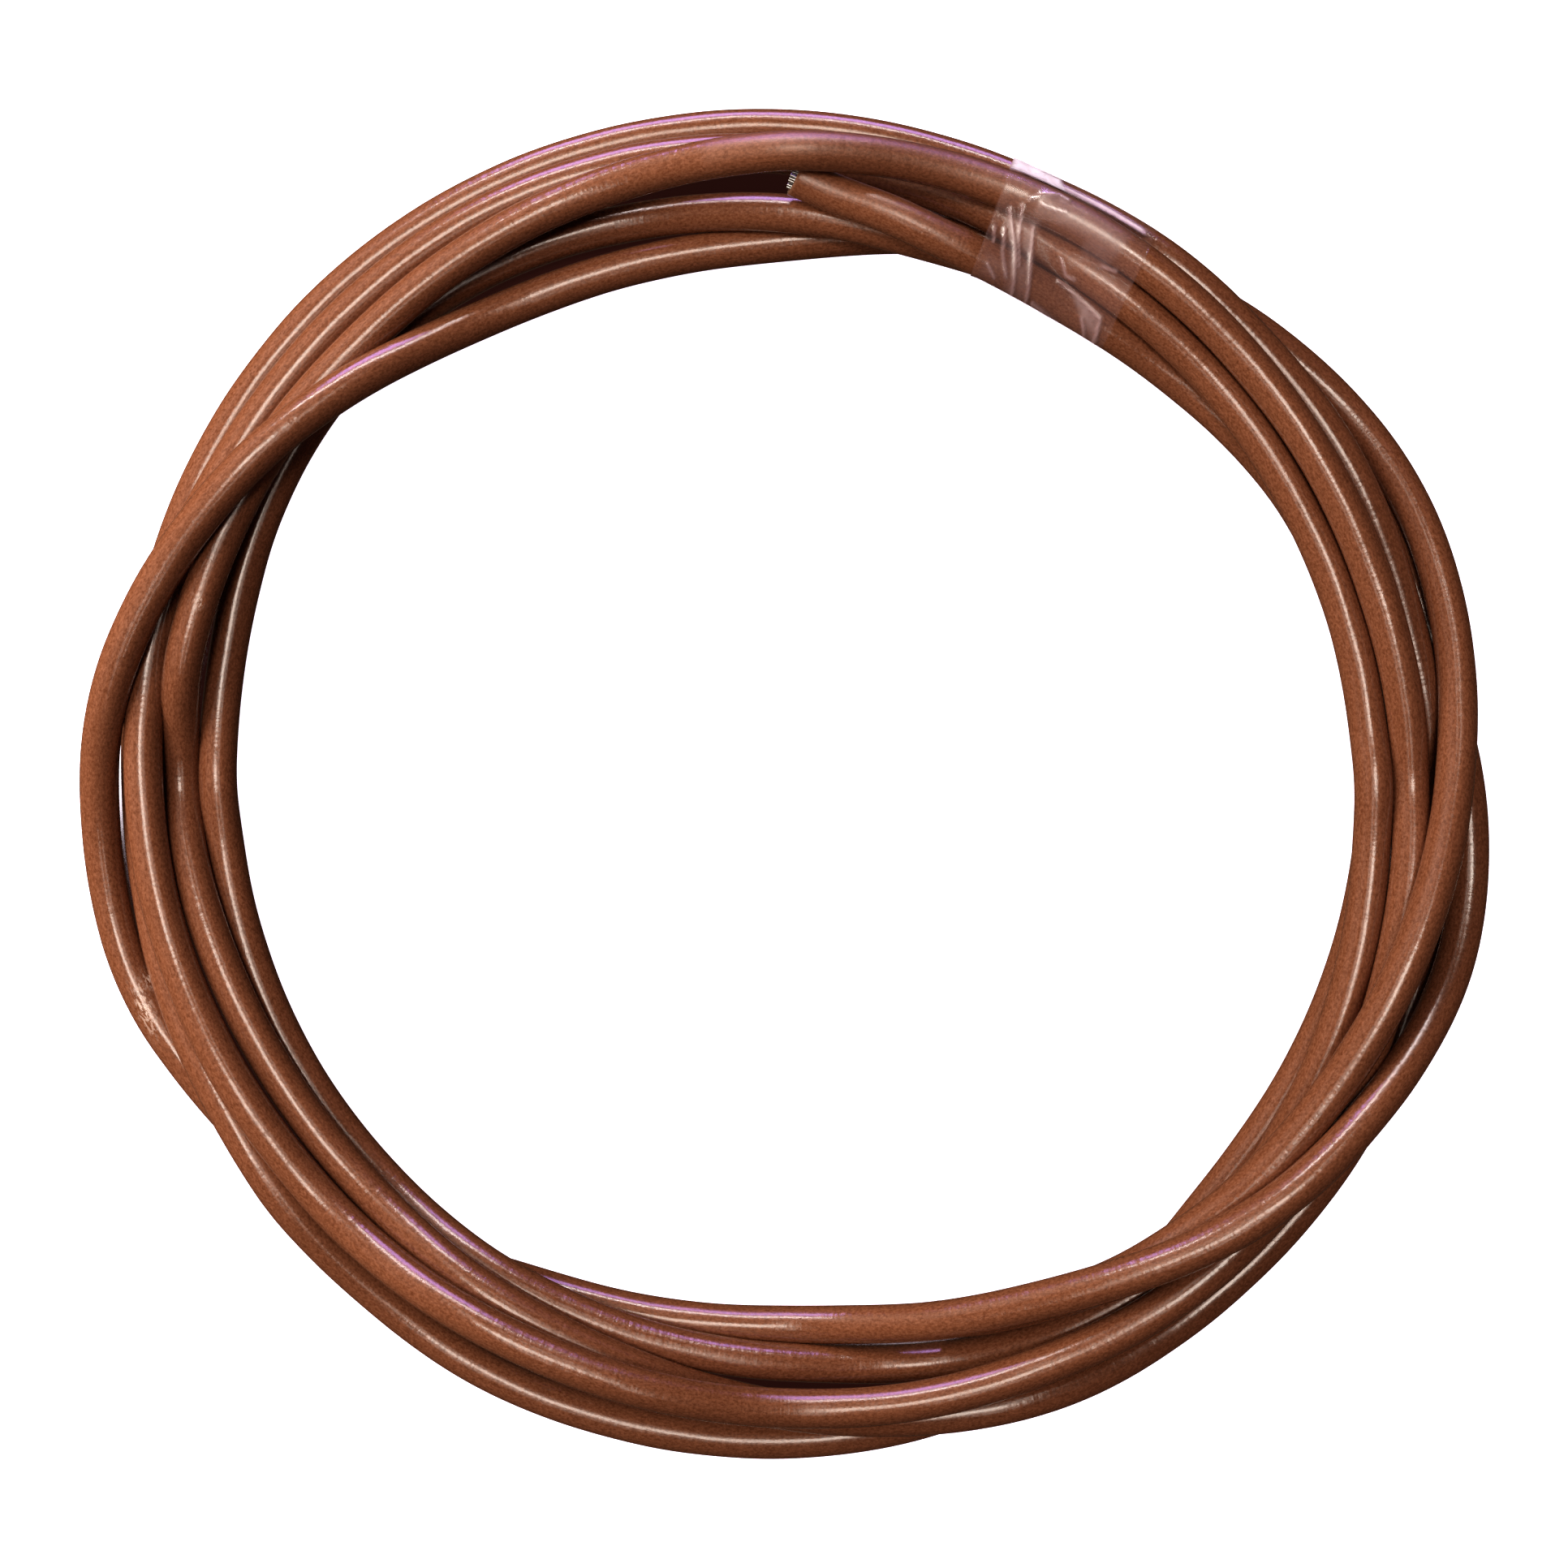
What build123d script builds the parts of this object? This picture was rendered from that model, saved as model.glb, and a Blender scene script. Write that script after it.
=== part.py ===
from build123d import *
from math import cos, radians, sin
import os

# A hand coil of brown plastic-covered steel cable, the stock that window restrictors are made from,
# lying flat and tied with one band of clear adhesive tape. Millimetres, +Z up. The coil's outer shape
# is one plain ring, in which the turns lie, and the cable's own parts are modelled at its two cut
# ends: the plastic jacket and the seven-strand steel core, seven wires in each strand.

# Cable
cable_diameter = 4.15
core_diameter = 3.0
strand_diameter = core_diameter / 3
wire_pitch = strand_diameter / 3
wire_diameter = wire_pitch - 0.01
outer_strands = 6

# Coil: its shape is given at equal steps of bearing round its centre, counter-clockwise from +X.
# The origin is the middle of the whole coil's box, and the turns are centred a little off it.
# The rounded shape reaches a little below the surface and is cut off flat there, where it rests.
centre_x = 0.95
centre_y = 0.09
edge_radius = cable_diameter / 2
below_surface = 0.5
coil_sections = [
    # inner radius, outer radius, height
    (61.3, 76.2, 11.1),
    (61.1, 76.2, 10.4),
    (61.1, 76.8, 11.0),
    (60.0, 73.9, 11.0),
    (58.3, 72.6, 11.8),
    (58.6, 73.8, 12.1),
    (58.0, 74.8, 15.7),
    (57.9, 75.6, 10.7),
    (59.1, 76.2, 9.3),
    (61.3, 76.4, 10.2),
    (64.1, 76.0, 13.5),
    (62.3, 75.2, 12.1),
    (61.4, 78.1, 8.4),
    (61.0, 78.5, 9.1),
    (60.9, 74.7, 11.0),
    (60.8, 74.4, 11.2),
    (60.3, 75.6, 15.8),
    (59.0, 75.4, 15.4),
    (58.0, 75.0, 11.2),
    (58.3, 73.9, 11.2),
    (60.1, 75.5, 14.0),
    (62.9, 75.8, 16.1),
    (62.8, 75.6, 14.8),
    (62.3, 77.1, 14.8),
]
section_step = 360 / len(coil_sections)
half_turn = len(coil_sections) // 2
overrun = 2
big = 200.0

# Tape band: drawn thicker than the film, so that it is a sound solid
tape_width = 18.0
tape_thickness = 0.3
tape_bearing = 63.0
tape_radius = 66.0
tape_skew = 7.0

# Cut ends: bearing and radius of the end face's centre, its height, the compass direction in which
# the end points, how far it climbs, and whether the coil lies under it or over it
end_length = 6.0
slot_side_gap = 0.5
slot_front = 5.0
slot_reach = 12.0
cut_ends = {
    "visible_end": (90.0, 65.3, 9.8, 157.0, 0.0, "coil under"),
    "hidden_end": (285.0, 61.3, 3.6, 188.0, -14.0, "coil over"),
}


def on_coil(bearing, radius, height=0.0):
    """A point at a bearing and radius round the coil's centre."""
    angle = radians(bearing)
    return Vector(centre_x + radius * cos(angle), centre_y + radius * sin(angle), height)


def coil_section(index, inset):
    """The coil's cross-section at one station, drawn in by the inset on every side."""
    inner, outer, height = coil_sections[index % len(coil_sections)]
    angle = radians(index * section_step)
    plane = Plane(
        origin=(centre_x, centre_y, 0),
        x_dir=(cos(angle), sin(angle), 0),
        z_dir=(sin(angle), -cos(angle), 0),
    )
    width = outer - inner - 2 * inset
    rise = height + below_surface - 2 * inset
    outline = RectangleRounded(width, rise, edge_radius - inset)
    return plane * Pos((inner + outer) / 2, (height - below_surface) / 2) * outline


def half_ring(start, inset):
    """Half of the coil, lofted past both of its ends so that the two halves join smoothly,
    and flat underneath."""
    stations = range(start - overrun, start + half_turn + overrun + 1)
    long_piece = loft([coil_section(index, inset) for index in stations])
    side = 1 if start == 0 else -1
    kept = Pos(centre_x, centre_y + side * big / 2, inset + big / 2) * Box(2 * big, big, big)
    return long_piece & kept


def ring(inset=0.0):
    """The whole coil as one ring."""
    return half_ring(0, inset) + half_ring(half_turn, inset)


def tape_slab():
    """The stretch of coil that the tape covers: a slab across it, turned by the tape's skew."""
    place = Location(on_coil(tape_bearing, tape_radius), (0, 0, tape_bearing + tape_skew))
    return place * Box(80, tape_width, 60)


def end_plane(bearing, radius, height, direction, climb):
    """The plane of a cut end's face: its normal points out of the end, its Y is up."""
    flat = cos(radians(climb))
    normal = Vector(
        flat * cos(radians(direction)), flat * sin(radians(direction)), sin(radians(climb))
    )
    across = Vector(0, 0, 1).cross(normal)
    return Plane(origin=on_coil(bearing, radius, height), x_dir=across, z_dir=normal)


def end_slot(face_plane, side):
    """The open space round a cut end, on the side of the coil that it lies on."""
    width = cable_diameter + 2 * slot_side_gap
    length = end_length + slot_front
    up = 1 if side == "coil under" else -1
    middle = up * (slot_reach / 2 - cable_diameter / 2)
    return face_plane * Pos(0, middle, (slot_front - end_length) / 2) * Box(width, slot_reach, length)


def jacket(face_plane):
    """The last stretch of the plastic jacket."""
    wall = Circle(cable_diameter / 2) - Circle(core_diameter / 2)
    return extrude(face_plane * wall, -end_length)


def strand(face_plane, x, y):
    """The last stretch of one strand: a wire with six round it, as seven separate solids."""
    places = [(x, y)]
    places += [
        (x + wire_pitch * cos(radians(60 * k)), y + wire_pitch * sin(radians(60 * k)))
        for k in range(6)
    ]
    return [
        extrude(face_plane * Pos(*place) * Circle(wire_diameter / 2), -end_length)
        for place in places
    ]


def write(shape, name):
    """Write one node; a list of separate solids becomes one compound."""
    if isinstance(shape, list):
        solids = [solid for piece in shape for solid in piece.solids()]
        shape = Compound(children=solids)
    export_step(shape, "parts/" + name + ".step")
    boxes.append(shape.bounding_box())


os.makedirs("parts", exist_ok=True)
boxes = []

whole_ring = ring()
tape = (whole_ring & tape_slab()) - ring(tape_thickness)
coil = whole_ring - tape
for name, (bearing, radius, height, direction, climb, side) in cut_ends.items():
    face_plane = end_plane(bearing, radius, height, direction, climb)
    coil -= end_slot(face_plane, side)
    write(jacket(face_plane), name + "_jacket")
    write(strand(face_plane, 0, 0), name + "_king_strand")
    for k in range(outer_strands):
        angle = radians(360 / outer_strands * k)
        shape = strand(face_plane, strand_diameter * cos(angle), strand_diameter * sin(angle))
        write(shape, name + "_strand_" + str(k + 1))
write(coil, "coil")
write(tape, "tape_band")

low = [min(getattr(box.min, axis) for box in boxes) for axis in "XYZ"]
high = [max(getattr(box.max, axis) for box in boxes) for axis in "XYZ"]
print("size", [round(b - a, 2) for a, b in zip(low, high)])
print("middle", [round((a + b) / 2, 2) for a, b in zip(low, high)], "lowest", round(low[2], 3))
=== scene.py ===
from math import cos, pi, radians, sin, sqrt

import bmesh
import bpy
import numpy as np
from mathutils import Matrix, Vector, noise


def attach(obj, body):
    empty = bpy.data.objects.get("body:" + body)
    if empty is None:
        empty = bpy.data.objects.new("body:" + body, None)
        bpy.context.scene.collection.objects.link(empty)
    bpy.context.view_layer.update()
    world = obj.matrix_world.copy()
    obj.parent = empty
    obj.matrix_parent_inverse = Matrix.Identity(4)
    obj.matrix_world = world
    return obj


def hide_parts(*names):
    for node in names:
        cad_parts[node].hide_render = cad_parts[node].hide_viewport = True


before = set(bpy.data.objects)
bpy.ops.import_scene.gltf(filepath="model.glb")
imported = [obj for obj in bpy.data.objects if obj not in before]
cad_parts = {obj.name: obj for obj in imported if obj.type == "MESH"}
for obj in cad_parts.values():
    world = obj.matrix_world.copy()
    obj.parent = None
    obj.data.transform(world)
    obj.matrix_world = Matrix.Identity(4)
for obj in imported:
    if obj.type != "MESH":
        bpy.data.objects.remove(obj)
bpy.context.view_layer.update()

# A hand coil of brown plastic-covered steel cable, tied with one band of clear tape. Lengths are in
# metres, and the route is given in millimetres, as in the part's source.
MM = 0.001
BODY = "root"

# ---------------------------------------------------------------- the cable's route
CABLE = 4.15 * MM
CORE_BORE = 1.5 * MM                         # radius of the hole in the jacket that the core fills
CENTRE = Vector((0.95, 0.09, 0.0)) * MM      # the middle of the turns, as in the part's source
STATION = 15                                 # degrees of bearing from one given radius to the next
FINE = 5                                     # and from one point of the route to the next
FIRST_BEARING = 285

# Radius of each turn at each station, in millimetres, and how high it lies there: a turn with a
# higher number passes over one with a lower number wherever the two cross or touch.
TURNS = [
    ([61.3, 63.5, 65.0, 66.2, 68.2], "22333"),
    ([71.5, 74.1, 74.7, 71.8, 67.6, 63.0, 60.1, 60.0, 61.2, 63.4, 67.5, 72.3,
      76.0, 76.4, 72.6, 68.8, 63.3, 61.1, 60.1, 60.4, 62.2, 66.5, 70.6, 75.0],
     "110000000333300000034442"),
    ([74.1, 72.8, 70.3, 67.0, 63.0, 61.0, 62.3, 64.6, 66.4, 67.1, 66.2, 64.4,
      63.5, 63.1, 63.0, 62.9, 62.4, 62.8, 63.8, 66.3, 67.1, 67.4, 65.8, 64.4],
     "000001100000000011111111"),
    ([63.4, 63.2, 63.2, 63.7, 64.1, 66.8, 69.1, 70.3, 71.0, 71.0, 70.9, 71.4,
      70.7, 69.6, 68.2, 67.6, 65.9, 66.0, 67.4, 68.1, 68.7, 69.2, 69.0, 67.9],
     "111111111111122233332222"),
    ([67.5, 66.7, 66.7, 67.1, 67.6, 67.9, 66.9, 67.6, 67.5, 67.2, 67.4, 67.2,
      67.6, 65.7, 64.5, 64.0, 63.8, 65.3, 68.9, 71.1, 73.4, 73.7, 73.5, 72.8],
     "122222322222011122221111"),
    ([70.7, 69.7, 69.9, 70.0, 70.5, 71.7, 72.7, 73.5, 74.1, 74.3, 73.9, 73.1,
      72.3, 72.1, 71.2, 72.3, 73.5, 73.3, 72.9, 71.8, 68.9, 65.7, 64.9, 64.8],
     "011110000000011100000000"),
    ([64.9, 64.6, 64.0, 62.1, 60.4, 60.7, 65.3], "0000122"),
]

# The cut ends: bearing and radius of the face's middle, its height, the direction it faces and its
# climb, the same as in the part's source, and the straight length behind each.
VISIBLE_END = (90.0, 65.3, 9.8, 157.0, 0.0)
HIDDEN_END = (285.0, 61.3, 3.6, 188.0, -14.0)
STRAIGHT = 6.0 * MM
SLANT = 0.75 * MM                            # how far back the jacket is cut at the visible end's top
HIDDEN_RISE = 1.35                           # how much higher the cable lies one point on, in millimetres

# Where the jacket is dull: how much rougher it is, then the bearing and radius of the corners.
DULL = [
    (0.20, [(98.0, 69.6), (75.0, 70.0), (58.0, 69.6), (58.0, 66.2), (75.0, 65.9), (98.0, 65.6)]),
    (0.16, [(93.0, 66.6), (88.0, 67.0), (72.0, 63.4), (72.0, 60.0), (86.0, 62.5)]),
]
DULL_EDGE = 1.2                              # width over which the dullness fades, in millimetres
UNROLL_RADIUS = 66.0                         # at which a bearing there is turned into millimetres
# Scuffs on the jacket: bearing and radius of each one's middle, its length and width in millimetres.
SCUFFS = [
    (199.2, 75.4, 2.4, 0.6),
    (197.0, 74.2, 1.0, 0.4),
    (163.0, 66.6, 0.7, 0.4),
    (89.0, 70.4, 0.8, 0.4),
]

# Painted shade: the floor's colour and glow are painted darkest in the gaps between the turns. The two
# ends of a fade, in millimetres: out from the middle, back in from the rim, and towards a bearing.
GAPS_INSIDE = (60.6, 61.2)
GAPS_OUTSIDE = (71.0, 70.0)
GAPS_TOWARDS = [(106, 59.6, 60.8), (267, 64.0, 65.0)]

# ---------------------------------------------------------------- the camera
FRAME_WIDTH = 175.6 * MM                     # how much of the coil's plane the picture takes in
CAMERA_HEIGHT = 240.0 * MM
SENSOR = 36.0


def camera():
    """Straight down on the coil, from close above it."""
    data = bpy.data.cameras.new("camera")
    data.sensor_width = SENSOR
    data.lens = SENSOR * CAMERA_HEIGHT / FRAME_WIDTH
    data.clip_start, data.clip_end = 0.05, 20
    cam = bpy.data.objects.new("camera", data)
    bpy.context.scene.collection.objects.link(cam)
    cam.location = (0.13 * MM, 0.0, CAMERA_HEIGHT)
    bpy.context.scene.camera = cam


# ---------------------------------------------------------------- the cable
def between(values, where):
    """Values at fractional stations, on the smooth curve through the given ones."""
    ends = [2 * values[0] - values[1]], [2 * values[-1] - values[-2]]
    padded = np.concatenate([ends[0], values, ends[1]])
    k = np.minimum(where.astype(int), len(values) - 2)
    t = where - k
    p0, p1, p2, p3 = (padded[k + n] for n in range(4))
    return 0.5 * (2 * p1 + (p2 - p0) * t + (2 * p0 - 5 * p1 + 4 * p2 - p3) * t ** 2
                  + (3 * p1 - p0 - 3 * p2 + p3) * t ** 3)


def lanes():
    """Bearing, radius and layer of the route's points, turn after turn."""
    radii = np.array([r for row, _ in TURNS for r in row])
    layers = np.array([float(c) for _, row in TURNS for c in row])
    where = np.arange((len(radii) - 1) * STATION // FINE + 1) * FINE / STATION
    bearings = FIRST_BEARING + FINE * np.arange(len(where))
    return bearings, between(radii, where), np.interp(where, np.arange(len(layers)), layers)


def contacts(radii, layers, pitch):
    """Pairs (upper, lower) of points that lie over each other, and how far apart their heights are
    held by the two turns' roundness."""
    per_turn = 360 // FINE
    upper, lower, apart = [], [], []
    for i in range(len(radii)):
        for j in range(i + per_turn, len(radii), per_turn):
            across = radii[i] - radii[j]
            if abs(across) < pitch:
                over = layers[i] >= layers[j]
                upper.append(i if over else j)
                lower.append(j if over else i)
                apart.append(sqrt(pitch ** 2 - across ** 2))
    return np.array(upper), np.array(lower), np.array(apart)


def settle(radii, layers, held):
    """Heights of the turns once they have come to rest on each other: stiff along their length, pulled
    down a little each round, pushed apart where they touch, and never below the surface. A second,
    gentler spell takes out most of what is left of the turns' overlaps."""
    diameter = CABLE / MM
    pitch = 1.01 * diameter                  # how close the middles of two turns may come
    start = 0.8 * diameter                   # how far apart the layers lie before they are let down
    spells = [(0.01 * diameter, 0.25)] * 4000 + [(0.002 * diameter, 0.05)] * 1500
    spread, passes = 1.2, 3
    upper, lower, apart = contacts(radii, layers, pitch)
    z = diameter / 2 + start * layers
    count = len(z)
    fixed = np.array(list(held))
    fixed_z = np.array(list(held.values()))
    for weight, stiffness in spells:
        bend = np.zeros(count)
        bend[1:-1] = (z[2:] + z[:-2]) / 2 - z[1:-1]
        relax = np.zeros(count)
        relax[1:-1] = (bend[2:] + bend[:-2]) / 2 - bend[1:-1]
        z = z - stiffness * relax - weight
        for _ in range(passes):
            into = np.minimum(z[upper] - z[lower] - apart, 0)
            push = np.bincount(upper, -into / 2, count) + np.bincount(lower, into / 2, count)
            touching = np.bincount(upper, into < 0, count) + np.bincount(lower, into < 0, count)
            z = z + spread * push / np.maximum(touching, 1)
            z = np.maximum(z, diameter / 2)
            z[fixed] = fixed_z
    return z


def end_points(end):
    """A cut end's middle and the way it faces."""
    bearing, radius, height, direction, climb = end
    turn, way, up = radians(bearing), radians(direction), radians(climb)
    facing = Vector((cos(up) * cos(way), cos(up) * sin(way), sin(up)))
    place = Vector((radius * cos(turn), radius * sin(turn), height)) * MM
    return CENTRE + place, facing


def route():
    """The cable's control points, from the hidden cut end to the visible one."""
    bearings, radii, layers = lanes()
    last = len(radii) - 1
    skipped = 2                              # stations that a straight end takes the place of
    hidden, visible = HIDDEN_END[2], VISIBLE_END[2]
    held = {0: hidden, 1: hidden + HIDDEN_RISE, last: visible, last - 1: visible}
    heights = settle(radii, layers, held)
    turns = [CENTRE + Vector((r * cos(radians(b)), r * sin(radians(b)), z)) * MM
             for b, r, z in zip(bearings, radii, heights)]
    ends = []
    for end in (HIDDEN_END, VISIBLE_END):
        tip, facing = end_points(end)
        ends.append([tip - facing * STRAIGHT * share for share in (0, 0.5, 1)])
    return ends[0] + turns[skipped:-skipped] + ends[1][::-1]


def centreline(points):
    """Points read from a smooth spline through the route, close together."""
    curve = bpy.data.curves.new("route", "CURVE")
    curve.dimensions = "3D"
    spline = curve.splines.new("NURBS")
    spline.points.add(len(points) - 1)
    for slot, point in zip(spline.points, points):
        slot.co = (*point, 1.0)
    spline.order_u = 3
    spline.use_endpoint_u = True
    spline.resolution_u = 12
    holder = bpy.data.objects.new("route", curve)
    bpy.context.scene.collection.objects.link(holder)
    bpy.context.view_layer.update()
    mesh = bpy.data.meshes.new_from_object(holder)
    line = np.array([v.co for v in mesh.vertices], float)
    bpy.data.objects.remove(holder)
    bpy.data.curves.remove(curve)
    bpy.data.meshes.remove(mesh)
    return line


def from_middle(points):
    """How far each point lies from the middle of the turns along X and Y, in millimetres."""
    return ((points - np.array(CENTRE)) / MM)[:, :2].T


def unrolled(corners, radius):
    """Corners given by bearing and radius, laid out flat in millimetres."""
    return [(radians(b) * radius, r) for b, r in corners]


def scuffed(points):
    """How much the jacket is rubbed at each point."""
    x, y = from_middle(points)
    wear = np.zeros(len(points))
    for bearing, radius, length, width in SCUFFS:
        turn = radians(bearing)
        outward = x * cos(turn) + y * sin(turn) - radius
        onward = y * cos(turn) - x * sin(turn)
        wear = np.maximum(wear, np.exp(-(outward / width) ** 2 - (onward / length) ** 2))
    return wear


def dulled(points):
    """How much rougher than elsewhere the jacket is at each point."""
    x, y = from_middle(points)
    radius, turn = np.hypot(x, y), np.arctan2(y, x)
    most = np.zeros(len(points))
    for strength, corners in DULL:
        depth = within(turn * UNROLL_RADIUS, radius, unrolled(corners, UNROLL_RADIUS))
        most = np.maximum(most, strength * np.clip(depth / DULL_EDGE + 0.5, 0, 1))
    return most


def keep(mesh, name, values):
    """Keep a number for each vertex, under a name that the mesh's material reads."""
    attribute = mesh.attributes.new(name, "FLOAT", "POINT")
    attribute.data.foreach_set("value", values.astype(np.float32))


def tube(name, line, radius, sides=20):
    """A tube along the line. Its vertices also keep, as an attribute, the place that each has on the
    cable pulled straight, which is what the jacket's grain and wear are laid out by."""
    ahead = np.gradient(line, axis=0)
    ahead /= np.linalg.norm(ahead, axis=1)[:, None]
    side = np.cross((0, 0, 1), ahead)
    side /= np.linalg.norm(side, axis=1)[:, None]
    up = np.cross(ahead, side)
    along = np.concatenate([[0], np.cumsum(np.linalg.norm(np.diff(line, axis=0), axis=1))])
    angle = 2 * pi * np.arange(sides) / sides

    rings, straight = [], []

    def ring(k, r, shift=0.0, wave=np.zeros(sides)):
        from_end = along[-1] - along[k]
        back = SLANT * np.clip(1 - from_end / (3 * SLANT), 0, 1) * (1 + np.cos(angle)) / 2
        shift = shift - back
        outward = np.cos(angle)[:, None] * up[k] + np.sin(angle)[:, None] * side[k]
        rings.append(line[k] + ahead[k] * shift[:, None] + (r + wave)[:, None] * outward)
        straight.append(np.stack([r * np.cos(angle), r * np.sin(angle), along[k] + shift], 1))

    # Ten slow waves round and along the jacket keep it from being a perfect tube.
    rng = np.random.default_rng(4)
    waves = [(rng.uniform(6, 60) * MM, rng.uniform(0, 2 * pi), rng.integers(1, 4))
             for _ in range(10)]

    def swell(k):
        total = sum(np.sin(2 * pi * along[k] / length + phase + n * angle)
                    for length, phase, n in waves)
        return 0.006 * MM * total

    # A cut end from the bottom of its bore out to its edge: radius, and how far in from the cut.
    wall = radius - CORE_BORE
    face = [
        (CORE_BORE, 1.5 * MM),
        (CORE_BORE, 0.02 * MM),
        (CORE_BORE + 0.3 * wall, 0.0),
        (radius - 0.12 * MM, 0.0),
        (radius - 0.03 * MM, 0.03 * MM),
    ]
    for r, inward in face:
        ring(0, r, inward)
    first = len(rings)
    for k in range(1, len(line) - 1):
        ring(k, radius, 0.0, swell(k))
    final = len(rings)
    for r, inward in reversed(face):
        ring(-1, r, -inward)

    count = len(rings)
    vertices = np.concatenate(rings)
    faces = []
    for k in range(count - 1):
        for n in range(sides):
            m = (n + 1) % sides
            faces.append((k * sides + n, k * sides + m, (k + 1) * sides + m, (k + 1) * sides + n))
    faces.append(tuple(range(sides - 1, -1, -1)))
    faces.append(tuple((count - 1) * sides + n for n in range(sides)))
    mesh = bpy.data.meshes.new(name)
    mesh.from_pydata(vertices.tolist(), [], faces)
    attribute = mesh.attributes.new("straight", "FLOAT_VECTOR", "POINT")
    attribute.data.foreach_set("vector", np.concatenate(straight).ravel().astype(np.float32))
    cut = np.zeros(count)
    cut[:first] = cut[final:] = 1.0
    cut[first - 1] = cut[final] = 0.6
    keep(mesh, "wear", scuffed(vertices))
    keep(mesh, "dull", dulled(vertices))
    keep(mesh, "cut", np.repeat(cut, sides))
    mesh.validate()
    mesh.update()
    mesh.shade_smooth()
    obj = bpy.data.objects.new(name, mesh)
    bpy.context.scene.collection.objects.link(obj)
    return obj


# ---------------------------------------------------------------- the tape
# The film's two edges: bearing at the coil's outside and at its inside.
TAPE_LEFT = (70.4, 70.6)
TAPE_RIGHT = (57.2, 54.4)
TAPE_INSIDE, TAPE_OUTSIDE = 57.5, 76.0       # radii between which the edges run, in millimetres
FILM = 0.05                                  # the film's thickness, in millimetres
FILM_GAP = 0.04                              # between the turns and the film, in millimetres
SAG, MOST_SAG = 0.35, 0.5                    # share of the way in, and at most how many millimetres
TAPE_OVERLAP = 6.0                           # how far its end laps over its start, in millimetres
TAPE_COVER = 16.5                            # the width that the film's grid is counted over
TAPE_GRID = 0.24                             # spacing of the film's grid, in millimetres
TAPE_STEP = 0.5                              # degrees between the sections it is wrapped round
TAPE_RADIUS = 63.0                           # at which its bearings are turned into millimetres
ON_FLOOR = 0.01                              # least height of the film over the surface

# Creases that stand up from the film on top: height and width in millimetres, then the bearing and
# radius of points along each.
CREASES = [
    (0.10, 0.16, [(69.0, 63.6), (68.3, 61.0), (67.1, 59.1)]),
    (0.14, 0.18, [(69.2, 65.6), (67.4, 62.2), (65.3, 57.0)]),
    (0.12, 0.14, [(68.2, 66.4), (67.4, 63.2), (66.3, 60.6)]),
    (0.14, 0.18, [(66.5, 64.8), (65.6, 62.2), (63.7, 57.2)]),
    (0.16, 0.18, [(67.8, 67.3), (66.8, 68.2), (65.6, 68.9), (64.5, 68.8)]),
    (0.12, 0.13, [(66.7, 67.2), (65.6, 67.2), (64.3, 67.5)]),
    (0.16, 0.14, [(59.0, 64.7), (57.6, 65.0)]),
    (0.12, 0.14, [(62.1, 61.4), (58.6, 61.0), (56.4, 60.6)]),
    (0.12, 0.14, [(58.1, 59.6), (55.6, 57.6)]),
    (0.14, 0.16, [(56.4, 60.6), (55.1, 57.6)]),
    (0.10, 0.12, [(70.0, 63.5), (69.6, 61.8)]),
    (0.12, 0.12, [(62.8, 63.4), (61.6, 62.2), (60.6, 62.3)]),
    (0.10, 0.12, [(69.4, 59.4), (68.2, 58.6)]),
    (0.14, 0.30, [(65.8, 71.0), (61.5, 70.9), (57.2, 70.6)]),
    (0.10, 0.16, [(63.4, 58.3), (59.0, 58.0), (55.2, 57.9)]),
]
# Places where the film isn't stuck down and looks hazy, and two of painted glare: strength, then bearing
# and radius of the corners. A strength above 0.9, in the last two, paints the film near white as where it
# reflects the lamps.
HAZE_AND_GLARE = [
    (0.32, [(69.3, 65.0), (66.3, 65.6), (64.2, 57.4), (66.4, 57.2)]),
    (0.90, [(61.6, 61.3), (56.5, 60.8), (55.0, 57.6), (57.6, 59.4)]),
    (0.30, [(62.0, 66.8), (58.4, 66.6), (58.6, 64.8), (61.0, 64.4)]),
    (0.30, [(66.8, 68.9), (58.4, 68.3), (58.4, 65.9), (66.8, 66.4)]),
    (0.20, [(69.8, 60.5), (67.4, 60.0), (67.6, 58.4), (69.6, 58.6)]),
    # Painted glare: these two patches are painted near white, standing in for the lamps' reflection on
    # the film.
    (3.20, [(70.3, 69.9), (65.2, 70.5), (66.0, 72.2), (70.3, 73.2)]),
    (1.60, [(65.6, 70.7), (57.4, 70.2), (57.4, 70.9), (65.6, 71.6)]),
]


def strands_at(line, bearings):
    """For each bearing, the radius and height of every turn that passes it, in millimetres."""
    local = line / MM - np.array(CENTRE) / MM
    around = np.degrees(np.unwrap(np.arctan2(local[:, 1], local[:, 0])))
    radius = np.hypot(local[:, 0], local[:, 1])
    found = []
    for bearing in bearings:
        turns = []
        whole = int((around[0] - bearing) // 360) + 1
        while bearing + 360 * whole < around[-1]:
            k = np.searchsorted(around, bearing + 360 * whole)
            share = (bearing + 360 * whole - around[k - 1]) / (around[k] - around[k - 1])
            turns.append((radius[k - 1] + share * (radius[k] - radius[k - 1]),
                          local[k - 1, 2] + share * (local[k, 2] - local[k - 1, 2])))
            whole += 1
        found.append(np.array(turns))
    return found


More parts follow.
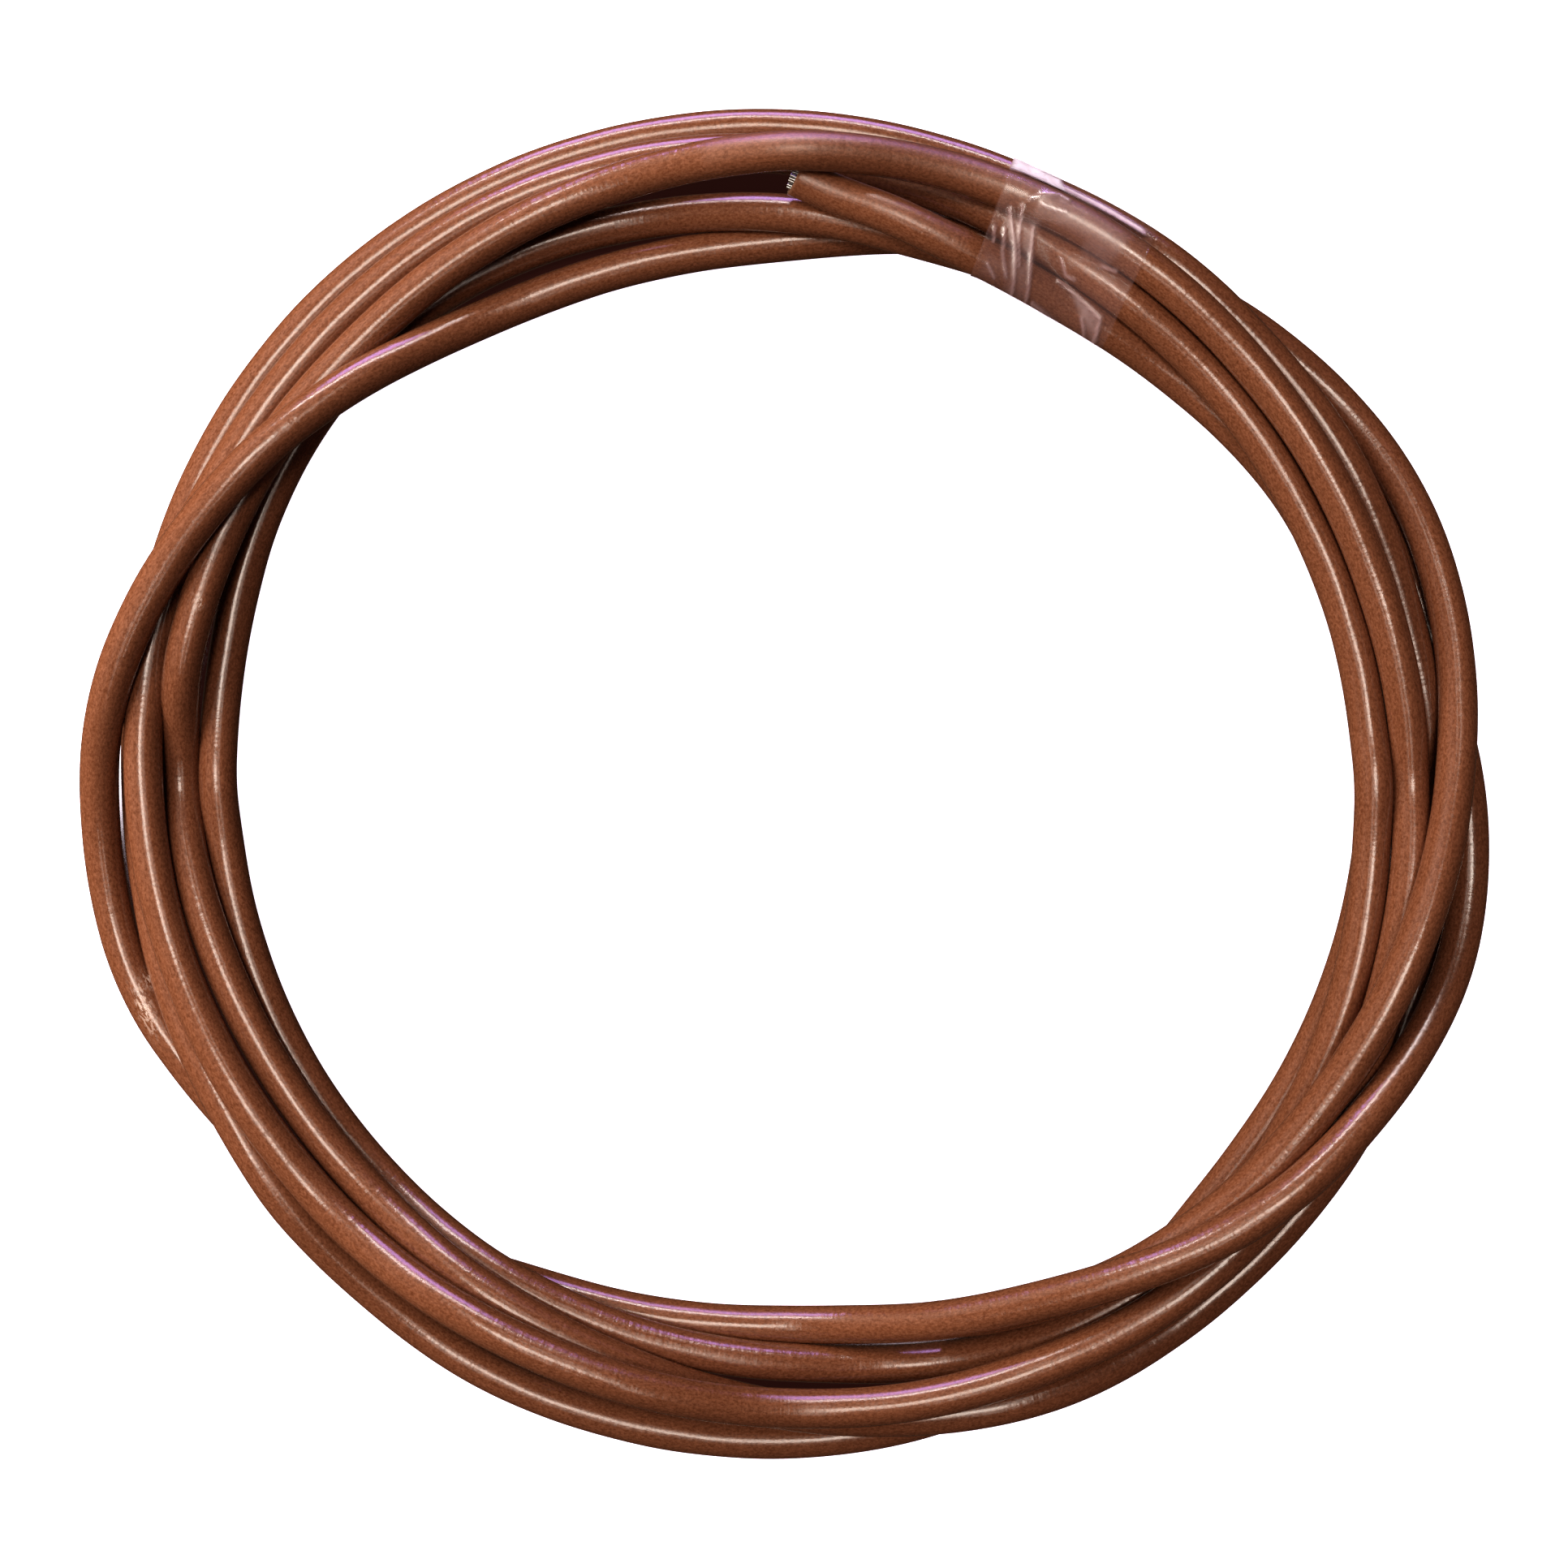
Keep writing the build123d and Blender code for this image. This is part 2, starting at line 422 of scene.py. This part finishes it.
def wrapped(turns, count):
    """The closed line that film takes round one section of the turns, sagging a little between them:
    points at equal steps along it, from the lower inside, and its girth."""
    rim = CABLE / MM / 2 + FILM_GAP
    angle = np.linspace(0, 2 * pi, 90, endpoint=False)
    circle = rim * np.stack([np.cos(angle), np.sin(angle)], 1)
    cloud = (turns[:, None, :] + circle[None]).reshape(-1, 2)
    cloud = cloud[np.lexsort((cloud[:, 1], cloud[:, 0]))]
    hull = []
    for points in (cloud, cloud[::-1]):
        chain = []
        for point in points:
            while len(chain) > 1 and np.cross(chain[-1] - chain[-2], point - chain[-1]) <= 0:
                chain.pop()
            chain.append(point)
        hull += chain[:-1]
    hull = np.array(hull)
    loop = np.concatenate([hull, hull[:1]])
    steps = np.concatenate([[0], np.cumsum(np.hypot(*np.diff(loop, axis=0).T))])
    even = np.linspace(0, steps[-1], count, endpoint=False)
    points = np.stack([np.interp(even, steps, loop[:, n]) for n in (0, 1)], 1)
    ahead = np.roll(points, -2, 0) - np.roll(points, 2, 0)
    inward = np.stack([-ahead[:, 1], ahead[:, 0]], 1) / np.hypot(*ahead.T)[:, None]
    apart = np.min(np.hypot(*(points[:, None] - turns[None]).transpose(2, 0, 1)), 1) - rim
    points = points + inward * np.minimum(SAG * apart, MOST_SAG)[:, None]
    return points, steps[-1]


def to_segments(x, y, corners):
    """Distance of each point from a broken line."""
    best = np.full(x.shape, 1e9)
    for (x0, y0), (x1, y1) in zip(corners, corners[1:]):
        dx, dy = x1 - x0, y1 - y0
        share = np.clip(((x - x0) * dx + (y - y0) * dy) / (dx * dx + dy * dy), 0, 1)
        best = np.minimum(best, np.hypot(x - x0 - share * dx, y - y0 - share * dy))
    return best


def within(x, y, corners):
    """How far inside a convex patch each point lies; negative outside it."""
    x0, y0 = np.mean(corners, 0)
    depth = np.full(x.shape, 1e9)
    for (xa, ya), (xb, yb) in zip(corners, corners[1:] + corners[:1]):
        nx, ny = yb - ya, xa - xb
        size = sqrt(nx * nx + ny * ny)
        side = ((x - xa) * nx + (y - ya) * ny) / size
        if (x0 - xa) * nx + (y0 - ya) * ny < 0:
            side = -side
        depth = np.minimum(depth, side)
    return depth


def tape(line):
    """One turn of creased clear film round the bundle, its end lapped over its start."""
    bearings = np.arange(min(TAPE_RIGHT) - 1, max(TAPE_LEFT) + 1, TAPE_STEP)
    sections = strands_at(line, bearings)
    girth = np.mean([wrapped(turns, 60)[1] for turns in sections])
    around = int(girth / TAPE_GRID)
    table = np.array([wrapped(turns, around)[0] for turns in sections])
    table = np.array([table[max(0, k - 1):k + 2].mean(0) for k in range(len(table))])
    mean = table.mean(0)
    columns = int(TAPE_COVER / TAPE_GRID)
    rows = around + int(TAPE_OVERLAP / TAPE_GRID)
    first = int(0.03 * around)
    row = (first + np.arange(rows)) % around
    share = np.clip((mean[row, 0] - TAPE_INSIDE) / (TAPE_OUTSIDE - TAPE_INSIDE), 0, 1)
    left = TAPE_LEFT[1] + share * (TAPE_LEFT[0] - TAPE_LEFT[1])
    right = TAPE_RIGHT[1] + share * (TAPE_RIGHT[0] - TAPE_RIGHT[1])
    across = np.linspace(0, 1, columns)
    bearing = left[:, None] + (right - left)[:, None] * across[None]
    where = (bearing - bearings[0]) / TAPE_STEP
    k = np.clip(where.astype(int), 0, len(bearings) - 2)
    t = (where - k)[..., None]
    flat = table[k, row[:, None]] * (1 - t) + table[k + 1, row[:, None]] * t
    radius, height = flat[..., 0], flat[..., 1]

    turn = np.radians(bearing)
    points = np.stack([radius * np.cos(turn), radius * np.sin(turn), height], 2)
    normal = np.cross(np.gradient(points, axis=0), np.gradient(points, axis=1))
    normal = normal / np.linalg.norm(normal, axis=2)[..., None]
    if normal[..., 2][height > height.max() - 1].mean() < 0:
        normal = -normal
    on_top = np.clip(normal[..., 2] * 3, 0, 1)
    x, y = turn * TAPE_RADIUS, radius

    down = np.arange(rows)[:, None] + np.zeros_like(x)
    lift = 0.02 + 0.06 * down / around       # so that the overlapping end lies clear of the start
    ridge = np.zeros_like(x)
    for tall, wide, corners in CREASES:
        near = np.exp(-(to_segments(x, y, unrolled(corners, TAPE_RADIUS)) / wide) ** 2)
        ridge = np.maximum(ridge, near)
        lift += on_top * tall * near
    # Haze where the film is lifted, and painted glare where the strength is above 0.9.
    haze_and_glare = np.zeros_like(x)
    for strength, corners in HAZE_AND_GLARE:
        depth = within(x, y, unrolled(corners, TAPE_RADIUS))
        haze_and_glare = np.maximum(haze_and_glare, strength * np.clip(depth / 0.9 + 0.5, 0, 1))
    ripple = np.array([[noise.noise((a * 0.8, b * 0.8, 3.0)) for a, b in zip(u, v)]
                       for u, v in zip(x, down * TAPE_GRID)])
    lift += 0.03 * (1 + ripple) * (0.4 + haze_and_glare)
    outer = points + normal * (lift + FILM)[..., None]
    inner = points + normal * lift[..., None]
    outer[..., 2] = np.maximum(outer[..., 2], ON_FLOOR)
    inner[..., 2] = np.maximum(inner[..., 2], 1.2 * ON_FLOOR)

    vertices = np.concatenate([outer.reshape(-1, 3), inner.reshape(-1, 3)]) * MM + np.array(CENTRE)
    size = rows * columns
    faces = []
    for r in range(rows - 1):
        for c in range(columns - 1):
            a = r * columns + c
            quad = (a, a + 1, a + columns + 1, a + columns)
            faces.append(quad)
            faces.append(tuple(size + v for v in quad[::-1]))
    edge = [(0, c) for c in range(columns - 1)]
    edge += [(r, columns - 1) for r in range(rows - 1)]
    edge += [(rows - 1, c) for c in range(columns - 1, 0, -1)]
    edge += [(r, 0) for r in range(rows - 1, 0, -1)]
    edge = [r * columns + c for r, c in edge]
    for a, b in zip(edge, edge[1:] + edge[:1]):
        faces.append((b, a, size + a, size + b))
    mesh = bpy.data.meshes.new("tape")
    mesh.from_pydata(vertices.tolist(), [], faces)
    for name, values in (("haze_and_glare", haze_and_glare * on_top), ("crease", ridge * on_top)):
        keep(mesh, name, np.tile(values.ravel(), 2))
    mesh.validate()
    mesh.update()
    shape = bmesh.new()
    shape.from_mesh(mesh)
    bmesh.ops.recalc_face_normals(shape, faces=shape.faces)
    shape.to_mesh(mesh)
    shape.free()
    mesh.shade_smooth()
    obj = bpy.data.objects.new("tape", mesh)
    bpy.context.scene.collection.objects.link(obj)
    return obj, girth + TAPE_OVERLAP


# ---------------------------------------------------------------- materials
class Look:
    """A new material, and the kinds of node that the materials here are made of. Each method adds one
    node and gives back its output."""

    def __init__(self, name):
        self.material = bpy.data.materials.new(name)
        self.material.use_nodes = True
        self.nodes = self.material.node_tree.nodes
        self.links = self.material.node_tree.links
        self.shader = self.nodes["Principled BSDF"]

    def feed(self, socket, value):
        """Link another node's output to a socket, or set the socket to a plain value."""
        if isinstance(value, bpy.types.NodeSocket):
            self.links.new(value, socket)
        else:
            socket.default_value = value

    def attribute(self, name, output="Fac"):
        node = self.nodes.new("ShaderNodeAttribute")
        node.attribute_name = name
        return node.outputs[output]

    def place(self):
        return self.nodes.new("ShaderNodeTexCoord").outputs["Object"]

    def stretched(self, vector, scale):
        node = self.nodes.new("ShaderNodeMapping")
        self.feed(node.inputs["Vector"], vector)
        self.feed(node.inputs["Scale"], scale)
        return node.outputs["Vector"]

    def noise(self, vector, scale, detail, roughness=0.5):
        node = self.nodes.new("ShaderNodeTexNoise")
        self.feed(node.inputs["Vector"], vector)
        self.feed(node.inputs["Scale"], scale)
        self.feed(node.inputs["Detail"], detail)
        self.feed(node.inputs["Roughness"], roughness)
        return node.outputs["Fac"]

    def ramp(self, source, low, low_colour, high, high_colour):
        node = self.nodes.new("ShaderNodeValToRGB")
        first, last = node.color_ramp.elements
        first.position, first.color = low, (*low_colour, 1)
        last.position, last.color = high, (*high_colour, 1)
        self.feed(node.inputs["Fac"], source)
        return node.outputs["Color"]

    def spread(self, source, to_low=0.0, to_high=1.0, low=0.0, high=1.0):
        node = self.nodes.new("ShaderNodeMapRange")
        self.feed(node.inputs["Value"], source)
        self.feed(node.inputs["From Min"], low)
        self.feed(node.inputs["From Max"], high)
        self.feed(node.inputs["To Min"], to_low)
        self.feed(node.inputs["To Max"], to_high)
        return node.outputs["Result"]

    def maths(self, operation, *values):
        node = self.nodes.new("ShaderNodeMath")
        node.operation = operation
        for socket, value in zip(node.inputs, values):
            self.feed(socket, value)
        return node.outputs["Value"]

    def blend(self, amount, colour, other):
        node = self.nodes.new("ShaderNodeMix")
        node.data_type = "RGBA"
        self.feed(node.inputs["Factor"], amount)
        self.feed(node.inputs["A"], colour)
        self.feed(node.inputs["B"], other)
        return node.outputs["Result"]

    def bump(self, height, distance, under=None):
        node = self.nodes.new("ShaderNodeBump")
        self.feed(node.inputs["Strength"], 1.0)
        self.feed(node.inputs["Distance"], distance * MM)
        self.feed(node.inputs["Height"], height)
        if under:
            self.feed(node.inputs["Normal"], under)
        return node.outputs["Normal"]


def jacket_material():
    """Brown PVC: glossy, with a fine grain along it, faint mottling and dull rubbed patches."""
    look = Look("cable_jacket")
    look.feed(look.shader.inputs["IOR"], 1.5)
    straight = look.attribute("straight", "Vector")

    def noise_of(scale, detail, roughness):
        return look.noise(look.stretched(straight, scale), 1.0, detail, roughness)

    mottle = noise_of((4200, 4200, 2600), 4.0, 0.75)
    base = look.ramp(mottle, 0.35, (0.108, 0.036, 0.0155), 0.65, (0.232, 0.093, 0.050))
    whitened = look.blend(look.attribute("cut"), base, (0.20, 0.11, 0.075, 1.0))
    speckle = noise_of((3600, 3600, 1500), 3.0, 0.7)
    flecks = look.ramp(speckle, 0.48, (0.0, 0.0, 0.0), 0.58, (1.0, 1.0, 1.0))
    rubbed = look.maths("MULTIPLY", look.attribute("wear"), flecks)
    paler = look.blend(rubbed, whitened, (0.72, 0.56, 0.48, 1.0))
    look.feed(look.shader.inputs["Base Color"], paler)

    scratch = noise_of((2600, 2600, 60), 2.0, 0.6)
    rough = look.ramp(scratch, 0.35, (0.17, 0.17, 0.17), 0.75, (0.26, 0.26, 0.26))
    duller = look.maths("MULTIPLY_ADD", rubbed, 0.3, rough)
    matt = look.maths("ADD", look.attribute("dull"), duller)
    look.feed(look.shader.inputs["Roughness"], matt)

    ripples = noise_of((260, 260, 1150), 2.0, 0.5)
    grain = noise_of((5200, 5200, 4200), 2.0, 0.6)
    skin = look.bump(grain, 0.010, look.bump(ripples, 0.045))
    look.feed(look.shader.inputs["Normal"], skin)
    return look.material


def steel_material():
    """Cut galvanised wire: grey and bright, dulled by a fine mottling."""
    look = Look("steel_wire")
    look.feed(look.shader.inputs["Metallic"], 1.0)
    mottle = look.noise(look.place(), 4000, 3.0)
    colour = look.ramp(mottle, 0.0, (0.34, 0.33, 0.33), 1.0, (0.62, 0.60, 0.58))
    look.feed(look.shader.inputs["Base Color"], colour)
    look.feed(look.shader.inputs["Roughness"], look.spread(mottle, 0.25, 0.5))
    return look.material


def tape_material():
    """Clear film: glossy, hazy where it isn't stuck down, white along its creases, and painted near white
    where it stands in for the lamps' glare.
    """
    look = Look("clear_tape")
    film = look.shader
    look.feed(film.inputs["IOR"], 2.6)
    haze_and_glare = look.attribute("haze_and_glare")
    cloud = look.noise(look.place(), 900, 3.0)
    cover = look.maths("MULTIPLY_ADD", look.maths("MULTIPLY", haze_and_glare, cloud), 0.62, 0.06)
    cover = look.maths("MULTIPLY_ADD", look.attribute("crease"), 0.45, cover)
    # Painted glare: where the haze value is above 0.9, the film's colour turns near white with a faint
    # lilac, as a painted reflection of the lamps.
    painted_glare = look.maths("SUBTRACT", haze_and_glare, 0.9)
    tint_and_glare = look.blend(painted_glare, (0.48, 0.31, 0.32, 1), (0.90, 0.84, 0.90, 1))
    look.feed(film.inputs["Base Color"], tint_and_glare)
    look.feed(film.inputs["Roughness"], look.spread(haze_and_glare, 0.18, 0.70))
    look.feed(film.inputs["Normal"], look.bump(cloud, 0.03))
    clear = look.nodes.new("ShaderNodeBsdfTransparent")
    mix = look.nodes.new("ShaderNodeMixShader")
    look.feed(mix.inputs["Fac"], cover)
    look.links.new(clear.outputs["BSDF"], mix.inputs[1])
    look.links.new(film.outputs["BSDF"], mix.inputs[2])
    look.links.new(mix.outputs["Shader"], look.nodes["Material Output"].inputs["Surface"])
    return look.material


def floor_material():
    """Pale paper with the faintest lilac in it, glowing evenly bright in the open, with shade painted
    dark deep between the turns.
    """
    look = Look("floor")
    shader = look.shader
    look.feed(shader.inputs["Roughness"], 0.9)
    look.feed(shader.inputs["Specular IOR Level"], 0.0)
    openness = look.nodes.new("ShaderNodeAmbientOcclusion")
    openness.samples = 16
    look.feed(openness.inputs["Distance"], 20 * MM)
    place = look.place()

    def beyond(operation, other, near, far):
        """0 at less than near from the middle, 1 at more than far, both in millimetres."""
        measure = look.nodes.new("ShaderNodeVectorMath")
        measure.operation = operation
        look.feed(measure.inputs[0], place)
        look.feed(measure.inputs[1], other)
        return look.spread(measure.outputs["Value"], low=near * MM, high=far * MM)

    def towards(bearing, near, far):
        way = cos(radians(bearing)), sin(radians(bearing)), 0
        return beyond("DOT_PRODUCT", way, near, far)

    inside, outside = (beyond("DISTANCE", CENTRE, *ends) for ends in (GAPS_INSIDE, GAPS_OUTSIDE))
    either = look.maths("MAXIMUM", *(towards(*gap) for gap in GAPS_TOWARDS))
    painted_gap_shade = look.maths("MULTIPLY", look.maths("MULTIPLY", inside, outside), either)
    # Painted shade: colour and glow fall to dark brown where ambient occlusion finds the floor hemmed in
    # by the turns, and sooner inside the masked gaps.
    darker = look.maths("MULTIPLY_ADD", painted_gap_shade, -0.4, openness.outputs["AO"])
    lit = look.spread(darker, low=0.15, high=0.30)
    shade = look.blend(lit, (0.016, 0.005, 0.004, 1), (0.88, 0.80, 0.90, 1))
    look.feed(shader.inputs["Base Color"], shade)
    look.feed(shader.inputs["Emission Color"], shade)
    look.feed(shader.inputs["Emission Strength"], 1.3)
    return look.material


# ---------------------------------------------------------------- lights and floor
def area_light(name, distance, tilt, azimuth, width, height, power, colour,
               diffuse=True, glossy=True):
    """A lamp aimed at the coil from a distance, tilted off the vertical towards an azimuth."""
    data = bpy.data.lights.new(name, "AREA")
    data.shape = "RECTANGLE"
    data.size, data.size_y = width, height
    data.energy = power
    data.color = colour
    lamp = bpy.data.objects.new(name, data)
    out, up = distance * sin(radians(tilt)), distance * cos(radians(tilt))
    lamp.location = (out * cos(radians(azimuth)), out * sin(radians(azimuth)), up)
    lamp.rotation_euler = (-lamp.location).to_track_quat("-Z", "Y").to_euler()
    lamp.visible_camera = False
    lamp.visible_diffuse = diffuse
    lamp.visible_glossy = glossy
    bpy.context.scene.collection.objects.link(lamp)


def studio():
    """A pale floor and wall, warm lamps high overhead and near by, a narrow lamp over each side, a
    window, a white strip and a low violet lamp beyond the coil, and a weak warm glow all round."""
    bpy.ops.mesh.primitive_plane_add(size=6, location=(0, 0, 0))
    floor = bpy.context.object
    floor.name = "floor"
    floor.data.materials.append(floor_material())
    floor.visible_diffuse = floor.visible_glossy = False
    area_light("overhead", 3.0, 3, 100, 0.82, 0.82, 28.0, (1.0, 0.90, 0.80), diffuse=False)
    area_light("fill", 3.0, 3, 110, 0.82, 0.82, 37.0, (1.0, 0.90, 0.82), glossy=False)
    area_light("near", 0.34, 57, 156, 0.40, 0.30, 2.15, (1.0, 0.93, 0.84), glossy=False)
    area_light("left", 0.43, 11, 180, 0.46, 0.04, 0.30, (1.0, 0.90, 0.80), diffuse=False)
    area_light("right", 0.43, 11, 0, 0.46, 0.04, 0.30, (1.0, 0.90, 0.80), diffuse=False)
    area_light("window", 2.5, 62, 110, 2.9, 2.2, 13.0, (1.0, 0.80, 0.68))
    area_light("strip", 2.5, 58, 95, 2.0, 0.22, 42.0, (1.0, 0.92, 0.92), diffuse=False)
    area_light("violet", 2.5, 80, 92, 2.1, 0.90, 68.0, (0.62, 0.38, 1.0), diffuse=False)
    world = bpy.data.worlds.new("world")
    world.use_nodes = True
    nodes, links = world.node_tree.nodes, world.node_tree.links
    glow = nodes["Background"]
    glow.inputs["Color"].default_value = (1.0, 0.60, 0.42, 1)
    glow.inputs["Strength"].default_value = 0.07
    wall = nodes.new("ShaderNodeBackground")
    wall.inputs["Color"].default_value = (0.80, 0.79, 0.80, 1)
    ray = nodes.new("ShaderNodeLightPath")
    seen = nodes.new("ShaderNodeMixShader")
    links.new(ray.outputs["Is Camera Ray"], seen.inputs["Fac"])
    links.new(glow.outputs["Background"], seen.inputs[1])
    links.new(wall.outputs["Background"], seen.inputs[2])
    links.new(seen.outputs["Shader"], nodes["World Output"].inputs["Surface"])
    bpy.context.scene.world = world
    bpy.context.scene.view_settings.view_transform = "Standard"
    bpy.context.scene.view_settings.look = "Medium High Contrast"


camera()

line = centreline(route())
cable = tube("cable", line, CABLE / 2)
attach(cable, BODY)
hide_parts("coil", "visible_end_jacket", "hidden_end_jacket")
cable.data.materials.append(jacket_material())

band, band_length = tape(line)
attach(band, BODY)
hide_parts("tape_band")
band.data.materials.append(tape_material())

steel = steel_material()
for name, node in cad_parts.items():
    if "strand" in name:
        node.data.materials.clear()
        node.data.materials.append(steel)

studio()
